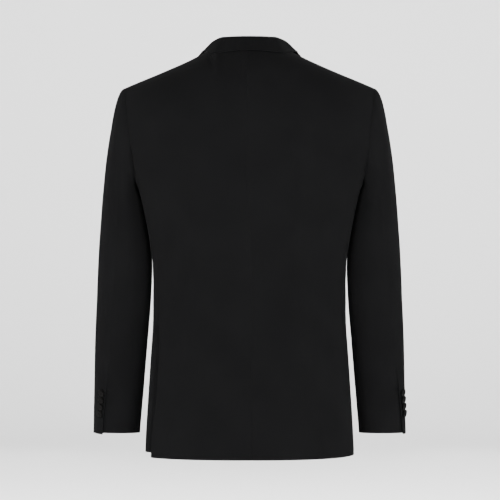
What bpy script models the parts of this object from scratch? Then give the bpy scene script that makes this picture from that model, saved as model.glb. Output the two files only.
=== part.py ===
"""A man's single breasted blazer in its worn shape, hollow, built from the pieces its maker would cut.

Metres, +Z up.  The front faces -Y and the wearer's left is +X.  The origin is midway between the two
points where the shoulder lines come out from under the collar, on the line of the shoulder seams.
"""

import math

import bpy
import numpy as np

# Cloth and seams.
CLOTH = 0.0018  # one wall of suiting with its canvas or fusing
FACING = 0.0016  # the lighter wall of a lapel, flap or welt
SEAM_GAP = 0.0003  # between two pieces at a seam
LAYER_GAP = 0.0010  # between a piece and the panel it lies on

# Heights on the body.
YOKE_BASE = -0.170  # above this the back and chest close over the shoulders
YOKE_SPAN = 0.110  # the level scale above it: this much stands for a quarter turn
YOKE_TOP = YOKE_BASE + YOKE_SPAN
UNDERARM = -0.220  # where the side seams run into the armhole
ARMHOLE_DIP = 0.023  # the armhole's lowest point, below the underarm level
VENT_TOP = -0.454
BACK_HEM = -0.7295
SIDE_HEM = -0.720
HEM_RISE = {1: 0.0014, -1: 0.0044}  # of the back's hem at the left and the right vent
HEM_RISE_POWER = 2  # it rises slowly from the centre seam

# Rows and columns of the body's panels.
SKIRT_ROWS = 8
TRUNK_ROWS = 6
ARMHOLE_LEVELS = (-0.195,)
YOKE_ROWS = 8
YOKE_PARTS = [row / YOKE_ROWS for row in range(YOKE_ROWS + 1)]
NECK_COLUMNS = 6
SHOULDER_COLUMNS = 6
FRONT_COLUMNS = 9
SIDE_COLUMNS = 5
COLUMN_SAMPLES = 41  # points along a level between which its columns are placed

# Body sections.
BACK_SQUARE = 2.6  # power of the rounded section: 2 is an ellipse
FRONT_SQUARE = 2.2
YOKE_SQUARE = 2.2
SPINE_WIDTH = 0.055
SHOULDER_TIP = 0.2275
NECK_SIDE = 0.072
NECK_BACK = 0.068
NECK_SQUARE = 2.2
NECK_MIDDLE = (0.0, -0.010)  # across and along; the neck edge runs round it

# Vents and closure.
UNDERLAP = 0.032  # cloth of a side body that runs on under the back
UNDERLAP_DROP = CLOTH + 0.0010  # how far it lies below the body's surface
VENT_EASE = 0.030  # length over which it sinks above the vent's top
VENT_SPREAD_WIDTH = 0.25  # part of the back's width that stands off at a vent
HEM_CORNER = {1: 0.0012, -1: 0.0050}  # what its corner there is rounded off by
CORNER_COLUMN = 0.98  # place across the back of the column beside its outer edge
CLOSURE_STEP = 0.0056  # left front over right front, with the right lapel between them
CLOSURE_FULL = 0.030  # distance from the centre with the whole step
CLOSURE_END = 0.095

# Lapels and collar.
ROLL_BREAK = -0.392
LAPEL_START = 0.05  # part of the lapel's length cut off its pointed lower end
GORGE_TURN = 0.5  # part of the quarter turn over the shoulder where collar and lapel meet
NOTCH = (0.098, -0.068)  # across and height, seen from the front
LAPEL_POINT = (0.129, -0.093)
COLLAR_POINT = (0.119, -0.047)
COLLAR_LIFT = 0.0035  # of the middle of the collar's wall above the panel, at its edge
COLLAR_ROLL = 0.0036  # half the thickness of its fold
COLLAR_CLEAR = 0.0031  # between the stand and the panels' neck edge
STAND_LEAVE = 0.3  # handles of the collar's curves, as parts of their chords
FALL_LEAVE = 1.2
FALL_ARRIVE = 0.4
STAND_PARTS = (0.0, 0.4, 0.8)
FALL_PARTS = (0.0, 0.14, 0.34, 0.56, 0.78, 1.0)
GORGE_GAP = 0.0006  # between collar and lapel
GORGE_STATION = 1.95  # beyond this station the collar ends along the gorge
LAPEL_TOP = -0.0350  # height where the gorge seam leaves the roll line
LAPEL_ROWS = 13
LAPEL_PARTS = (0.06, 0.28, 0.52, 0.76, 1.0)
# The fold round the front's edge: past the edge, and above the panel's outside.
LAPEL_FOLD_OUTER = ((0.0020, -0.0014), (0.0021, 0.0008), (0.0010, 0.0020))
LAPEL_FOLD_INNER = ((0.0004, -0.0014), (0.0004, 0.0002), (0.0002, 0.0005))

# Sleeves.
BICEP = -0.270
CUFF_VENT_TOP = -0.598
CUFF = -0.6910
CUFF_UNDERLAP = 0.018
CUFF_STEP = CLOTH + 0.0016  # between the cuff vent's two layers, shared by both
CUFF_STEP_COLUMNS = 2.5  # columns over which an edge's step fades
CUFF_VENT_EASE = 0.020
CUFF_CORNER_DROP = 0.0020  # how much lower the vent's outer corner hangs
ARMHOLE_CENTRE = -0.150
SLEEVE_SQUARE = 2.15
TOP_SHARE = 0.5  # where the sleeve's outer line lies between its front and back seam
CAP_LEAVE_TOP = np.array([0.88, 0.0, -0.475])  # how the cap leaves the armhole at its top
CAP_LEAVE_UNDER = np.array([0.24, 0.0, -0.97])
CAP_HEAD = 0.085  # length of that start, as a part of the way to the biceps
CAP_UNDER = 0.25
CAP_ARRIVE = 0.60
CAP_CLEAR = 0.05  # least part of its start that leaves the body's surface
CAP_PROBE = 0.010  # step down from the biceps that gives the sleeve's direction there
SLEEVE_CAP_PARTS = (0.0, 0.12, 0.26, 0.42, 0.60, 0.80)
ARM_ROWS = 9
CUFF_ROWS = 3

# Buttons.
FRONT_BUTTON = 0.0200
FRONT_BUTTON_HEIGHTS = (-0.415, -0.525)
CUFF_BUTTON = 0.0144
CUFF_BUTTON_TOP = -0.6165
CUFF_BUTTON_PITCH = 0.0128
CUFF_BUTTON_TILT = 11.0
CUFF_BUTTON_INSET = 0.0092  # from the vent's edge
CUFF_BUTTONS = 4
BUTTON_STAND = 0.0006  # between a button's back and the cloth
BUTTON_SIDES = 16
BUTTON_PROFILE = ((0, 0), (0.80, 0), (1.0, 0.16), (0.97, 0.27), (0.80, 0.30), (0.60, 0.22), (0, 0.20))

# Pockets.
FLAP_FROM = 147.0  # degrees round, at the flap's front end
FLAP_TO = 112.0
FLAP_TOP = -0.462
FLAP_DEPTH = 0.054
FLAP_SLANT = 0.006
FLAP_ROUND = 0.017
FLAP_ROWS = 4
FLAP_PARTS = (0.0, 0.02, 0.06, 0.11, 0.17, 0.34, 0.50, 0.66, 0.83, 0.89, 0.94, 0.98, 1.0)
WELT_FROM = 0.104
WELT_TO = 0.170
WELT_HEIGHT = -0.200
WELT_SLANT = 0.011
WELT_DEPTH = 0.022
WELT_ROWS = 2
WELT_COLUMNS = 5

# Colours and finishes.
BLACK_WOOL = (0.0105, 0.0108, 0.0118)
WOOL_ROUGHNESS = 0.85
BLACK_HORN = (0.012, 0.011, 0.011)
HORN_ROUGHNESS = 0.35

# Steps that find the direction of the body's surface.
LEVEL_STEP = 0.0005
AROUND_STEP = 0.2  # degrees

# Steps that find the front's inner edge at a level of the yoke.
EDGE_GUESS = 0.05
EDGE_STEPS = 12

SHARP_ANGLE = 40.0  # degrees between two faces that are shaded as an edge


class Table:
    """Rows of named numbers, joined along the first column by a cubic that never overshoots them."""

    def __init__(self, names, *rows):
        self.names = names.split()
        self.rows = np.array(sorted(rows), dtype=float)
        self.slopes = np.column_stack([self.trend(column) for column in self.rows.T])

    def trend(self, values):
        rises = np.diff(values) / np.diff(self.rows[:, 0])
        slopes = np.zeros(len(values))
        slopes[0] = rises[0]
        slopes[-1] = rises[-1]
        for row in range(1, len(rises)):
            before = rises[row - 1]
            after = rises[row]
            if before * after > 0:
                slopes[row] = 2 * before * after / (before + after)
        return slopes

    def read(self, name, place):
        column = self.names.index(name)
        places = self.rows[:, 0]
        place = min(max(place, places[0]), places[-1])
        row = min(int(np.searchsorted(places, place, side="right")) - 1, len(places) - 2)
        length = places[row + 1] - places[row]
        part = (place - places[row]) / length
        start, end = self.rows[row : row + 2, column]
        leave, arrive = self.slopes[row : row + 2, column] * length
        curve = (2 * part**3 - 3 * part**2) * (start - end) + start
        return curve + (part**3 - 2 * part**2 + part) * leave + (part**3 - part**2) * arrive


# Level sections of the body: half the width, where its widest place lies front to back, how far the
# back and the front stand from there, and the hollow along the spine.
BODY = Table(
    "height half_width middle back front spine",
    (-0.170, 0.2320, 0.015, 0.120, 0.142, 0.000),
    (-0.200, 0.2190, 0.020, 0.115, 0.149, 0.001),
    (-0.250, 0.2000, 0.026, 0.104, 0.156, 0.002),
    (-0.283, 0.1918, 0.027, 0.099, 0.156, 0.003),
    (-0.316, 0.1856, 0.026, 0.095, 0.153, 0.005),
    (-0.358, 0.1785, 0.023, 0.092, 0.148, 0.007),
    (-0.390, 0.1757, 0.020, 0.092, 0.144, 0.008),
    (-0.430, 0.1751, 0.017, 0.094, 0.141, 0.008),
    (-0.480, 0.1754, 0.013, 0.100, 0.137, 0.006),
    (-0.520, 0.1778, 0.010, 0.108, 0.135, 0.005),
    (-0.600, 0.1831, 0.008, 0.122, 0.135, 0.003),
    (-0.690, 0.1886, 0.006, 0.131, 0.138, 0.002),
    (-0.740, 0.1907, 0.006, 0.134, 0.139, 0.002),
)

# The shoulder line, from the middle of the neck out past the tip.
SHOULDER_LINE = Table(
    "across height",
    (-0.050, 0.0190),
    (0.000, 0.0340),
    (0.050, 0.0190),
    (0.072, 0.0092),
    (0.094, -0.0016),
    (0.109, -0.0087),
    (0.132, -0.0194),
    (0.158, -0.0305),
    (0.184, -0.0414),
    (0.210, -0.0520),
    (0.2275, -0.0598),
    (0.240, -0.0665),
)

# The armhole seam: how far out it runs on the back and on the front, by level.
ARMHOLE = Table(
    "level back front",
    (-0.220, 0.2058, 0.1890),
    (-0.195, 0.2102, 0.1880),
    (-0.170, 0.2140, 0.1900),
    (-0.139, 0.2200, 0.1990),
    (-0.100, 0.2250, 0.2140),
    (-0.060, 0.2275, 0.2275),
)

# The centre back seam, which wanders a little as it hangs.
CENTRE_SEAM = Table(
    "height across",
    (-0.732, -0.0046),
    (-0.600, -0.0030),
    (-0.466, -0.0014),
    (-0.382, -0.0046),
    (-0.300, -0.0005),
    (-0.214, 0.0058),
    (-0.125, 0.0046),
    (0.020, 0.0046),
)

# Side seams in degrees round from the centre back.  The skirt hangs turned a little to the left.
SIDE_SEAM = Table(
    "height left right front",
    (-0.732, 62.6, 83.5, 106.0),
    (-0.683, 60.5, 82.5, 106.0),
    (-0.620, 57.1, 80.5, 106.0),
    (-0.530, 58.6, 76.5, 107.0),
    (-0.506, 61.5, 73.5, 107.3),
    (-0.480, 64.1, 70.2, 107.6),
    (-0.454, 66.0, 67.0, 108.0),
    (-0.380, 70.5, 70.5, 110.0),
    (-0.300, 74.5, 74.5, 113.0),
    (-0.220, 79.0, 79.0, 116.5),
)

# How far the back's edge stands off at the vents.  The left one hangs open.
VENT_SPREAD = Table(
    "height left right",
    (-0.732, 0.0048, 0.0004),
    (-0.620, 0.0070, 0.0004),
    (-0.530, 0.0055, 0.0004),
    (-0.454, 0.0000, 0.0000),
)

# The front's inner edge: neck, roll line, straight front edge and rounded hem.
FRONT_EDGE = Table(
    "height across",
    (0.0100, 0.0722),
    (-0.0100, 0.0655),
    (-0.0350, 0.0560),
    (-0.1500, 0.0316),
    (-0.2700, 0.0060),
    (-0.3600, -0.0132),
    (-0.3920, -0.0200),
    (-0.5200, -0.0200),
    (-0.5600, -0.0178),
    (-0.6000, -0.0100),
    (-0.6300, 0.0025),
    (-0.6600, 0.0210),
    (-0.6840, 0.0430),
)
FRONT_CORNER = (0.0430, -0.6840)  # across and height where the rounded front turns into the hem
FRONT_ROUND = 0.150  # how far across the rounding reaches
FRONT_ROUND_POWER = 2.2

# Lapel's outer edge, seen from the front, along its length from the break to its point.
LAPEL_EDGE = Table(
    "along across height",
    (0.00, -0.0200, -0.3920),
    (0.15, 0.0080, -0.3520),
    (0.35, 0.0480, -0.2860),
    (0.60, 0.0900, -0.2080),
    (0.82, 0.1170, -0.1440),
    (1.00, LAPEL_POINT[0], LAPEL_POINT[1]),
)

# The collar by station: 0 at the centre back, 1 at the shoulder seam, 2 where it meets the lapel.
# The crown is the fold's highest line; the edge is given in plan and lies on the panels.
COLLAR_ROWS = (
    (0.00, 0.0000, 0.0545, 0.0314, 0.0000, 0.0790),
    (0.38, 0.0346, 0.0480, 0.0310, 0.0462, 0.0680),
    (0.72, 0.0565, 0.0290, 0.0294, 0.0734, 0.0485),
    (1.00, 0.0652, 0.0020, 0.0256, 0.0826, 0.0130),
    (1.25, 0.0662, -0.0230, 0.0160, 0.0896, -0.0165),
    (1.50, 0.0636, -0.0480, 0.0030, 0.0998, -0.0395),
    (1.75, 0.0590, -0.0700, -0.0145, 0.1090, -0.0580),
    (2.00, 0.0535, -0.0905, -0.0325, 0.1180, -0.0740),
)
COLLAR = Table(
    "station crown_x crown_y crown_z edge_x edge_y",
    *COLLAR_ROWS,
    *[(-s, -cx, cy, cz, -ex, ey) for s, cx, cy, cz, ex, ey in COLLAR_ROWS[1:]],
)

# Level sections of a sleeve: its inner and outer edges, where its middle lies front to back, half its
# depth, and how much its ring tips up toward the front.
SLEEVE = Table(
    "height inner outer middle half_depth tip",
    (-0.270, 0.1925, 0.2690, -0.017, 0.0690, 0.000),
    (-0.310, 0.1860, 0.2720, -0.018, 0.0665, 0.000),
    (-0.345, 0.1810, 0.2745, -0.019, 0.0640, 0.005),
    (-0.380, 0.1780, 0.2765, -0.021, 0.0620, 0.010),
    (-0.437, 0.1800, 0.2795, -0.026, 0.0595, 0.020),
    (-0.520, 0.1868, 0.2835, -0.037, 0.0560, 0.025),
    (-0.600, 0.1938, 0.2857, -0.050, 0.0520, 0.015),
    (-0.690, 0.2020, 0.2881, -0.064, 0.0475, -0.020),
)

# Sleeve seams in degrees round from the outside of the sleeve by its back, on the left and the right.
SLEEVE_SEAM = Table(
    "height left_back left_front right_back right_front",
    (-0.150, 86.0, 236.0, 86.0, 236.0),
    (-0.270, 80.0, 236.0, 80.0, 236.0),
    (-0.400, 71.0, 234.0, 63.0, 230.0),
    (-0.598, 65.0, 230.0, 48.0, 221.0),
    (-0.690, 58.0, 228.0, 34.0, 214.0),
)


def smooth(part):
    """0 to 1 with soft ends."""
    part = min(max(part, 0.0), 1.0)
    return part * part * (3 - 2 * part)


def unit(vector):
    return vector / np.linalg.norm(vector)


def signed_power(value, power):
    return math.copysign(abs(value) ** power, value)


def bezier(start, leave, arrive, end, part):
    rest = 1 - part
    return rest**3 * start + 3 * rest**2 * part * leave + 3 * rest * part**2 * arrive + part**3 * end


# The body's outside.


def body_point(around, level):
    """Around in degrees from the centre back (0) over the side (90) to the centre front (180)."""
    height = min(level, YOKE_BASE)
    sine = math.sin(math.radians(around))
    cosine = math.cos(math.radians(around))
    power = 2 / (BACK_SQUARE if cosine > 0 else FRONT_SQUARE)
    depth = BODY.read("back" if cosine > 0 else "front", height)
    across = BODY.read("half_width", height) * signed_power(sine, power)
    along = BODY.read("middle", height) + depth * signed_power(cosine, power)
    if cosine > 0:
        along -= BODY.read("spine", height) * math.exp(-((across / SPINE_WIDTH) ** 2))
    if level <= YOKE_BASE:
        return np.array([across, along, level])
    turn = math.pi / 2 * (level - YOKE_BASE) / YOKE_SPAN
    rise = SHOULDER_LINE.read("height", across) - YOKE_BASE
    forward = along * max(math.cos(turn), 0.0) ** (2 / YOKE_SQUARE)
    return np.array([across, forward, YOKE_BASE + rise * math.sin(turn) ** (2 / YOKE_SQUARE)])


def body_normal(around, level):
    high = min(level + LEVEL_STEP, YOKE_TOP)
    level = min(level, YOKE_TOP)
    upward = body_point(around, high) - body_point(around, high - 2 * LEVEL_STEP)
    onward = body_point(around + AROUND_STEP, level) - body_point(around - AROUND_STEP, level)
    return unit(np.cross(upward, onward))


def around_at(across, level, front):
    half_width = BODY.read("half_width", min(level, YOKE_BASE))
    square = FRONT_SQUARE if front else BACK_SQUARE
    sine = signed_power(min(max(across / half_width, -1.0), 1.0), square / 2)
    turn = math.degrees(math.asin(sine))
    return 180 - turn if front else turn


def turn_level(turn):
    """The level that stands for a turn over the shoulder, in radians."""
    return YOKE_BASE + YOKE_SPAN * turn / (math.pi / 2)


def place_seen(across, height, front=True):
    """Around and level of the point seen from the front or back at this place."""
    if height <= YOKE_BASE:
        return around_at(across, height, front), height
    rise = (height - YOKE_BASE) / (SHOULDER_LINE.read("height", across) - YOKE_BASE)
    turn = math.asin(min(rise, 1.0) ** (YOKE_SQUARE / 2))
    return around_at(across, YOKE_BASE, front), turn_level(turn)


def place_in_plan(across, along):
    """Around and level of the point of the shoulders seen from above at this place."""
    around = around_at(across, YOKE_BASE, along < 0)
    reach = abs(along / body_point(around, YOKE_BASE)[1])
    turn = math.acos(min(reach, 1.0) ** (YOKE_SQUARE / 2))
    return around, turn_level(turn)


def lifted(place, lift):
    return body_point(*place) + body_normal(*place) * lift


def closure_lift(side, place):
    """Half a step out near the centre on the left front and in on the right, gone at the gorge."""
    around, level = place
    if around < 90:
        return 0.0
    part = (CLOSURE_END - body_point(around, level)[0]) / (CLOSURE_END - CLOSURE_FULL)
    fade = 1 - smooth((level - YOKE_BASE) / (YOKE_SPAN * GORGE_TURN))
    return side * CLOSURE_STEP / 2 * smooth(part) * fade


# Walls of cloth.


def material(name, colour, roughness):
    made = bpy.data.materials.new(name)
    made.use_nodes = True
    shader = made.node_tree.nodes["Principled BSDF"]
    shader.inputs["Base Color"].default_value = (*colour, 1.0)
    shader.inputs["Roughness"].default_value = roughness
    shader.inputs["Metallic"].default_value = 0.0
    return made


def add_object(name, points, faces, colour, roughness):
    mesh = bpy.data.meshes.new(name)
    mesh.from_pydata([tuple(point) for point in points], [], faces)
    mesh.materials.append(material(name, colour, roughness))
    mesh.validate()
    mesh.shade_smooth()
    mesh.set_sharp_from_angle(angle=math.radians(SHARP_ANGLE))
    bpy.context.collection.objects.link(bpy.data.objects.new(name, mesh))


def wall(name, outer, inner, present=None):
    """A closed wall between two grids of points.  present marks the cells that are there."""
    rows, columns = outer.shape[:2]
    points = np.concatenate([outer.reshape(-1, 3), inner.reshape(-1, 3)])
    under = rows * columns
    cells = []
    for row in range(rows - 1):
        for column in range(columns - 1):
            if present is None or present[row][column]:
                corner = row * columns + column
                cells.append((corner, corner + columns, corner + columns + 1, corner + 1))
    first = points[list(cells[len(cells) // 2])]
    facing = np.cross(first[2] - first[0], first[3] - first[1])
    outward = first[0] - points[cells[len(cells) // 2][0] + under]
    if np.dot(facing, outward) < 0:
        cells = [cell[::-1] for cell in cells]
    edges = {(cell[i], cell[(i + 1) % 4]) for cell in cells for i in range(4)}
    faces = list(cells)
    faces += [tuple(corner + under for corner in cell[::-1]) for cell in cells]
    faces += [(b, a, a + under, b + under) for a, b in sorted(edges) if (b, a) not in edges]
    used = sorted({corner for face in faces for corner in face})
    renumber = {old: new for new, old in enumerate(used)}
    faces = [tuple(renumber[corner] for corner in face) for face in faces]
    add_object(name, points[used], faces, BLACK_WOOL, WOOL_ROUGHNESS)


def pull_in(points, *edges, distance=SEAM_GAP / 2):
    """Draws the named edges of a grid in toward its middle."""
    inward = {
        "low": ((0, slice(None)), (1, slice(None))),
        "high": ((-1, slice(None)), (-2, slice(None))),
        "first": ((slice(None), 0), (slice(None), 1)),
        "last": ((slice(None), -1), (slice(None), -2)),
    }
    for edge in edges:
        rim, next_to_rim = inward[edge]
        step = points[next_to_rim] - points[rim]
        points[rim] += distance * step / np.linalg.norm(step, axis=-1, keepdims=True)


def mirrored(side, *grids):
    return [grid * np.array([side, 1, 1]) for grid in grids]


def even_arounds(start, end, level, parts, straight):
    """Arounds along one level from start to end, at these parts of the length, or of the width."""
    samples = np.linspace(start, end, COLUMN_SAMPLES)
    points = np.array([body_point(around, level) for around in samples])
    lengths = np.concatenate([[0], np.cumsum(np.linalg.norm(np.diff(points, axis=0), axis=1))])
    by_length = np.interp(np.array(parts) * lengths[-1], lengths, samples)
    if straight == 0:
        return list(by_length)
    front = (start + end) / 2 > 90
    first = points[0][0]
    last = points[-1][0]
    arounds = []
    for part, around in zip(parts, by_length):
        across = first + (last - first) * part
        across += (body_point(around, level)[0] - across) * (1 - straight)
        arounds.append(around_at(across, level, front))
    return arounds


def lower_levels(hem):
    """Levels from a panel's hem over the vent's top up to the underarm."""
    skirt = np.linspace(BACK_HEM, VENT_TOP, SKIRT_ROWS)
    skirt[0] = hem
    trunk = np.linspace(VENT_TOP, UNDERARM, TRUNK_ROWS + 1)
    return list(skirt) + list(trunk[1:])


def grid_of(places, lift=None):
    """Points and normals of a grid of places, each lifted off the body where lift says so."""
    points = np.array([[body_point(*place) for place in row] for row in places])
    normals = np.array([[body_normal(*place) for place in row] for row in places])
    if lift is not None:
        points += normals * np.array(lift)[..., None]
    return points, normals


def neck_turn(across):
    """How far over the shoulder the back reaches at this place: to its neckline or the seam."""
    if across >= NECK_SIDE:
        return math.pi / 2
    around = around_at(across, YOKE_BASE, False)
    part = max(1 - (abs(across) / NECK_SIDE) ** NECK_SQUARE, 0) ** (1 / NECK_SQUARE)
    reach = NECK_BACK * part / body_point(around, YOKE_BASE)[1]
    return math.acos(reach ** (YOKE_SQUARE / 2))


def seam_around(side, level):
    return SIDE_SEAM.read("left" if side > 0 else "right", level)


def back_grid(side):
    """From the centre seam (first column) to the side seam and armhole, hem to shoulder."""
    neck = [NECK_SIDE / SHOULDER_TIP * column / NECK_COLUMNS for column in range(NECK_COLUMNS)]
    shoulder = list(np.linspace(NECK_SIDE / SHOULDER_TIP, 1, SHOULDER_COLUMNS + 1))
    parts = neck + shoulder[:-1] + [CORNER_COLUMN, 1.0]
    places = []
    lift = []
    for level in lower_levels(BACK_HEM):
        centre = around_at(side * CENTRE_SEAM.read("across", level), level, False)
        arounds = even_arounds(centre, seam_around(side, level), level, parts, 0)
        down = (VENT_TOP - level) / (VENT_TOP - BACK_HEM)
        rises = [HEM_RISE[side] * smooth(down) * part**HEM_RISE_POWER for part in parts]
        if level == BACK_HEM:
            rises[-1] += HEM_CORNER[side]
        places.append([(around, level + rise) for around, rise in zip(arounds, rises)])
        spread = VENT_SPREAD.read("left" if side > 0 else "right", level)
        lift.append([spread * smooth(1 - (1 - part) / VENT_SPREAD_WIDTH) for part in parts])
    for level in ARMHOLE_LEVELS:
        centre = around_at(side * CENTRE_SEAM.read("across", level), level, False)
        edge = around_at(ARMHOLE.read("back", level), level, False)
        arounds = even_arounds(centre, edge, level, parts, 0)
        places.append([(around, level) for around in arounds])
        lift.append([0.0] * len(parts))
    for up in YOKE_PARTS:
        level = YOKE_BASE + YOKE_SPAN * up
        centre = around_at(side * CENTRE_SEAM.read("across", level), level, False)
        edge = around_at(ARMHOLE.read("back", level), level, False)
        arounds = even_arounds(centre, edge, level, parts, up)
        row = []
        for column, around in enumerate(arounds):
            turn = math.pi / 2
            if column < NECK_COLUMNS:
                first = side * CENTRE_SEAM.read("across", YOKE_TOP)
                turn = neck_turn(first + (SHOULDER_TIP - first) * parts[column])
            row.append((around, turn_level(turn * up)))
        places.append(row)
        lift.append([0.0] * len(parts))
    return grid_of(places, lift)


def make_back(side, name):
    points, normals = back_grid(side)
    neck_edge = points[-1, : NECK_COLUMNS + 1].copy()
    armhole = points[SKIRT_ROWS + TRUNK_ROWS - 1 :, -1].copy()
    armhole_normals = normals[SKIRT_ROWS + TRUNK_ROWS - 1 :, -1].copy()
    pull_in(points, "first", "last")
    shoulder = points[:, NECK_COLUMNS:]
    pull_in(shoulder, "high")
    outer, inner = mirrored(side, points, points - normals * CLOTH)
    wall(name, outer, inner)
    return neck_edge, armhole, armhole_normals


def make_side(side, name):
    """From the side seam, with the vent's underlap before it, to the seam with the front."""
    parts = np.linspace(0, 1, SIDE_COLUMNS + 1)
    places = []
    lift = []
    for level in lower_levels(SIDE_HEM):
        seam = seam_around(side, level)
        arounds = even_arounds(seam, SIDE_SEAM.read("front", level), level, parts, 0)
        step = UNDERLAP / 2 / np.linalg.norm(body_point(seam, level) - body_point(seam - 1, level))
        arounds = [seam - 2 * step, seam - step] + arounds
        top = level == UNDERARM
        dips = [0.0, 0.0] + [ARMHOLE_DIP * math.sin(math.pi * part) if top else 0.0 for part in parts]
        places.append([(around, level - dip) for around, dip in zip(arounds, dips)])
        sunk = UNDERLAP_DROP * smooth((VENT_TOP + VENT_EASE - level) / VENT_EASE)
        lift.append([-sunk, -sunk] + [-sunk * smooth(1 - part * SIDE_COLUMNS) for part in parts])
    points, normals = grid_of(places, lift)
    armhole = points[-1, 2:].copy()
    armhole_normals = normals[-1, 2:].copy()
    pull_in(points, "last")
    seam_rows = points[:, 2:]
    pull_in(seam_rows, "first")
    present = []
    for level in lower_levels(SIDE_HEM)[:-1]:
        vent = level < VENT_TOP - SEAM_GAP
        present.append([vent, vent] + [True] * (len(parts) - 1))
    outer, inner = mirrored(side, points, points - normals * CLOTH)
    wall(name, outer, inner, present)
    return armhole, armhole_normals


def front_edge_across(level):
    """The inner edge by level: in the yoke its height isn't the level, so it is found in steps."""
    if level <= YOKE_BASE:
        return FRONT_EDGE.read("across", level)
    across = EDGE_GUESS
    for _ in range(EDGE_STEPS):
        height = body_point(around_at(across, level, True), level)[2]
        across = FRONT_EDGE.read("across", height)
    return across


def front_bottom(across):
    """The hem's height, which rises toward the front edge in a rounded corner."""
    part = min(max((FRONT_ROUND - across) / (FRONT_ROUND - FRONT_CORNER[0]), 0), 1)
    return SIDE_HEM + (FRONT_CORNER[1] - SIDE_HEM) * part**FRONT_ROUND_POWER


def front_grid(side):
    """From the side seam and armhole to the front edge and roll line, hem to shoulder."""
    parts = np.linspace(0, 1, FRONT_COLUMNS + 1)
    places = []
    hem_edge = around_at(FRONT_CORNER[0], SIDE_HEM, True)
    hem = even_arounds(SIDE_SEAM.read("front", SIDE_HEM), hem_edge, SIDE_HEM, parts, 0)
    bottoms = [front_bottom(body_point(around, SIDE_HEM)[0]) for around in hem]
    for level in lower_levels(SIDE_HEM):
        down = (UNDERARM - level) / (UNDERARM - SIDE_HEM)
        heights = [UNDERARM + (bottom - UNDERARM) * down for bottom in bottoms]
        edge = around_at(FRONT_EDGE.read("across", heights[-1]), heights[-1], True)
        arounds = even_arounds(SIDE_SEAM.read("front", level), edge, level, parts, 0)
        places.append(list(zip(arounds, heights)))
    for level in ARMHOLE_LEVELS:
        edge = around_at(front_edge_across(level), level, True)
        seam = around_at(ARMHOLE.read("front", level), level, True)
        arounds = even_arounds(seam, edge, level, parts, 0)
        places.append([(around, level) for around in arounds])
    for up in YOKE_PARTS:
        level = YOKE_BASE + YOKE_SPAN * up
        edge = around_at(front_edge_across(level), level, True)
        seam = around_at(ARMHOLE.read("front", level), level, True)
        arounds = even_arounds(seam, edge, level, parts, up)
        places.append([(around, level) for around in arounds])
    lift = [[closure_lift(side, place) for place in row] for row in places]
    return grid_of(places, lift)


def make_front(side, name):
    points, normals = front_grid(side)
    first_neck = len(points) - 1 - int(len(YOKE_PARTS) * (1 - GORGE_TURN))
    neck_edge = points[first_neck:, -1][::-1].copy()
    armhole = points[SKIRT_ROWS + TRUNK_ROWS - 1 :, 0].copy()
    armhole_normals = normals[SKIRT_ROWS + TRUNK_ROWS - 1 :, 0].copy()
    pull_in(points, "first", "high")
    outer, inner = mirrored(side, points, points - normals * CLOTH)
    wall(name, outer, inner)
    return neck_edge, armhole, armhole_normals


def make_body():
    """Both halves of the body; gives the neck edges and armhole rings that other pieces join."""
    seams = {}
    for side, hand in ((1, "left"), (-1, "right")):
        back_neck, back_arm, back_normals = make_back(side, "back_" + hand)
        side_arm, side_normals = make_side(side, "side_" + hand)
        front_neck, front_arm, front_normals = make_front(side, "front_" + hand)
        ring = np.concatenate([back_arm[::-1], side_arm[1:-1], front_arm[:-1]])
        ring_normals = np.concatenate([back_normals[::-1], side_normals[1:-1], front_normals[:-1]])
        seams[side] = {"neck": (back_neck, front_neck), "ring": ring, "normals": ring_normals}
    return seams


# Sleeves.


def sleeve_seam(side, which, height):
    hand = "left" if side > 0 else "right"
    return SLEEVE_SEAM.read(hand + "_" + which, height)


def armhole_angles(ring):
    """Degrees round the armhole from its top by the back, for each point of the ring."""
    angles = np.degrees(np.arctan2(ring[:, 1], ring[:, 2] - ARMHOLE_CENTRE)) % 360
    angles[0] = 0.0
    return angles


def turned_angles(side, angles, back_column, front_column, height):
    """The ring's angles lower down, where both seams have turned round the arm."""
    known = [0, back_column, front_column, len(angles)]
    before = [0.0, angles[back_column], angles[front_column], 360.0]
    back = sleeve_seam(side, "back", height)
    front = sleeve_seam(side, "front", height)
    middle = (front - 360) * (1 - TOP_SHARE) + back * TOP_SHARE
    after = [middle, back, front, middle + 360]
    upper = smooth((ARMHOLE_CENTRE - height) / (ARMHOLE_CENTRE - BICEP))
    after[0] *= upper
    after[3] = after[0] + 360
    columns = range(len(angles))
    uneven = angles - np.interp(columns, known, before)
    return np.interp(columns, known, after) + uneven / 2


def sleeve_ring_point(angle, height):
    inner = SLEEVE.read("inner", height)
    outer = SLEEVE.read("outer", height)
    depth = SLEEVE.read("half_depth", height)
    power = 2 / SLEEVE_SQUARE
    across = (inner + outer) / 2
    across += (outer - inner) / 2 * signed_power(math.cos(math.radians(angle)), power)
    out = depth * signed_power(math.sin(math.radians(angle)), power)
    drop = out * SLEEVE.read("tip", height)
    return np.array([across, SLEEVE.read("middle", height) + out, height - drop])


def cap_point(start, normal, angle, part):
    """From the armhole over the sleeve head and down to the biceps."""
    end = sleeve_ring_point(angle, BICEP)
    top = (1 + math.cos(math.radians(angle))) / 2
    leave = unit(CAP_LEAVE_TOP * top + CAP_LEAVE_UNDER * (1 - top))
    leave = unit(leave + normal * max(CAP_CLEAR - np.dot(leave, normal), 0))
    reach = np.linalg.norm(end - start)
    begin = start + (normal + leave) * SEAM_GAP * 2
    first = begin + leave * reach * (CAP_HEAD * top + CAP_UNDER * (1 - top))
    below = sleeve_ring_point(angle, BICEP - CAP_PROBE)
    last = end + unit(end - below) * reach * CAP_ARRIVE
    return bezier(begin, first, last, end, part)


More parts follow.
